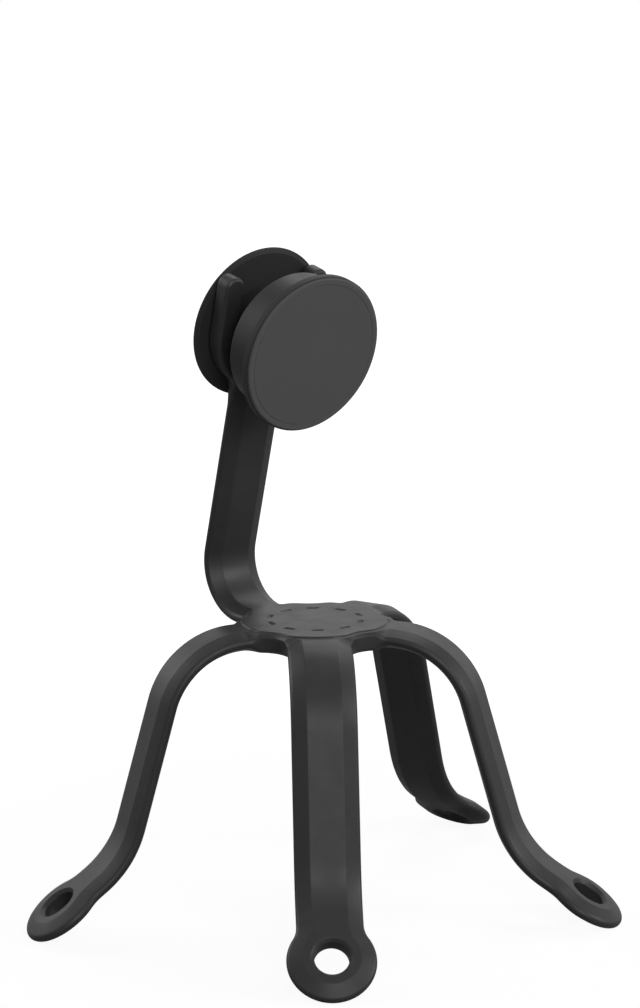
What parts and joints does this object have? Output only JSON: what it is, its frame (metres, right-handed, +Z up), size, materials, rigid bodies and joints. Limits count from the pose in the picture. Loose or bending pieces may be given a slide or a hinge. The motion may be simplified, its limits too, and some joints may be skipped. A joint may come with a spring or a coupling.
{
  "type": "flexible phone mount",
  "caption": "Bendable desk mount for a phone: a soft hub with wire-cored legs ending in eyelets and a neck whose fork holds a collapsible grip.",
  "frame": {"origin": "on the table, under the middle of the mount's bounding box", "axes": "+Z up, +Y towards the side where the neck rises, +X to the right when seen from the front legs"},
  "size_m": [0.1385, 0.0967, 0.1558],
  "materials": {
    "skin": "matte silicone, satin on the rounded edges",
    "core": "plain moulded",
    "wire": "drawn soft steel wire",
    "cradle": "fine matte moulded",
    "grip": "fine matte moulded",
    "bellows": "soft satin elastomer",
    "pad": "tacky gel",
    "face": "smooth matte"
  },
  "bodies": {
    "hub": {"hub_skin": "skin", "hub_anchor": "core", "left_hip": "skin", "right_hip": "skin", "front_left_hip": "skin", "front_right_hip": "skin", "left_wires": "wire", "right_wires": "wire", "front_left_wires": "wire", "front_right_wires": "wire", "neck_root": "skin", "neck_wires": "wire"},
    "left_shank": {"left_shank": "skin", "left_ankle": "skin"},
    "left_foot": {"left_foot": "skin"},
    "right_shank": {"right_shank": "skin", "right_ankle": "skin"},
    "right_foot": {"right_foot": "skin"},
    "front_left_shank": {"front_left_shank": "skin", "front_left_ankle": "skin"},
    "front_left_foot": {"front_left_foot": "skin"},
    "front_right_shank": {"front_right_shank": "skin", "front_right_ankle": "skin"},
    "front_right_foot": {"front_right_foot": "skin"},
    "neck": {"neck_stem": "skin", "neck_head": "skin"},
    "cradle": {"cradle": "cradle"},
    "grip_collar": {"grip_collar": "grip", "grip_bellows": "bellows"},
    "grip_base": {"grip_base": "grip", "grip_pad": "pad"},
    "grip_button": {"grip_button": "grip", "grip_face": "face"}
  },
  "joints": [
    {"name": "left_hip_bend", "type": "hinge", "parent": "hub", "child": "left_shank", "pos_m": [-0.03021, 0.02281, 0.06295], "axis": [0.309, 0.9511, 0], "range_deg": [-15, 70], "deforming": ["left_hip", "left_wires"]},
    {"name": "right_hip_bend", "type": "hinge", "parent": "hub", "child": "right_shank", "pos_m": [0.02872, 0.02282, 0.06294], "axis": [0.309, -0.9511, 0], "range_deg": [-15, 70], "deforming": ["right_hip", "right_wires"]},
    {"name": "front_left_hip_bend", "type": "hinge", "parent": "hub", "child": "front_left_shank", "pos_m": [-0.01896, -0.01182, 0.06294], "axis": [-0.809, 0.5878, 0], "range_deg": [-15, 70], "deforming": ["front_left_hip", "front_left_wires"]},
    {"name": "front_right_hip_bend", "type": "hinge", "parent": "hub", "child": "front_right_shank", "pos_m": [0.01747, -0.01183, 0.06293], "axis": [-0.809, -0.5878, 0], "range_deg": [-15, 70], "deforming": ["front_right_hip", "front_right_wires"]},
    {"name": "left_ankle_bend", "type": "hinge", "parent": "left_shank", "child": "left_foot", "pos_m": [-0.04784, 0.02854, 0.01786], "axis": [0.309, 0.9511, 0], "range_deg": [-45, 40], "deforming": ["left_ankle", "left_wires"]},
    {"name": "right_ankle_bend", "type": "hinge", "parent": "right_shank", "child": "right_foot", "pos_m": [0.04664, 0.02864, 0.01727], "axis": [0.309, -0.9511, 0], "range_deg": [-45, 40], "deforming": ["right_ankle", "right_wires"]},
    {"name": "front_left_ankle_bend", "type": "hinge", "parent": "front_left_shank", "child": "front_left_foot", "pos_m": [-0.02943, -0.02623, 0.01887], "axis": [-0.809, 0.5878, 0], "range_deg": [-45, 40], "deforming": ["front_left_ankle", "front_left_wires"]},
    {"name": "front_right_ankle_bend", "type": "hinge", "parent": "front_right_shank", "child": "front_right_foot", "pos_m": [0.0286, -0.02715, 0.01706], "axis": [-0.809, -0.5878, 0], "range_deg": [-45, 40], "deforming": ["front_right_ankle", "front_right_wires"]},
    {"name": "neck_root_bend", "type": "hinge", "parent": "hub", "child": "neck", "pos_m": [-0.00075, 0.04353, 0.07154], "axis": [1, 0, 0], "range_deg": [-35, 35], "deforming": ["neck_root", "neck_wires"]},
    {"name": "neck_head_bend", "type": "hinge", "parent": "neck", "child": "cradle", "pos_m": [-0.00075, 0.03758, 0.1119], "axis": [1, 0, 0], "range_deg": [-45, 40], "deforming": ["neck_head", "neck_wires"]},
    {"name": "grip_slide", "type": "slide", "parent": "cradle", "child": "grip_collar", "axis": [0, -0.2588, 0.9659], "range_m": [0, 0.026]},
    {"name": "grip_turn", "type": "hinge", "parent": "grip_collar", "child": "grip_base", "pos_m": [-0.00075, 0.03496, 0.13811], "axis": [0, -0.9659, -0.2588], "continuous": true},
    {"name": "grip_collapse", "type": "slide", "parent": "grip_collar", "child": "grip_button", "axis": [0, 0.9659, 0.2588], "range_m": [0, 0.01], "deforming": ["grip_bellows"]}
  ]
}
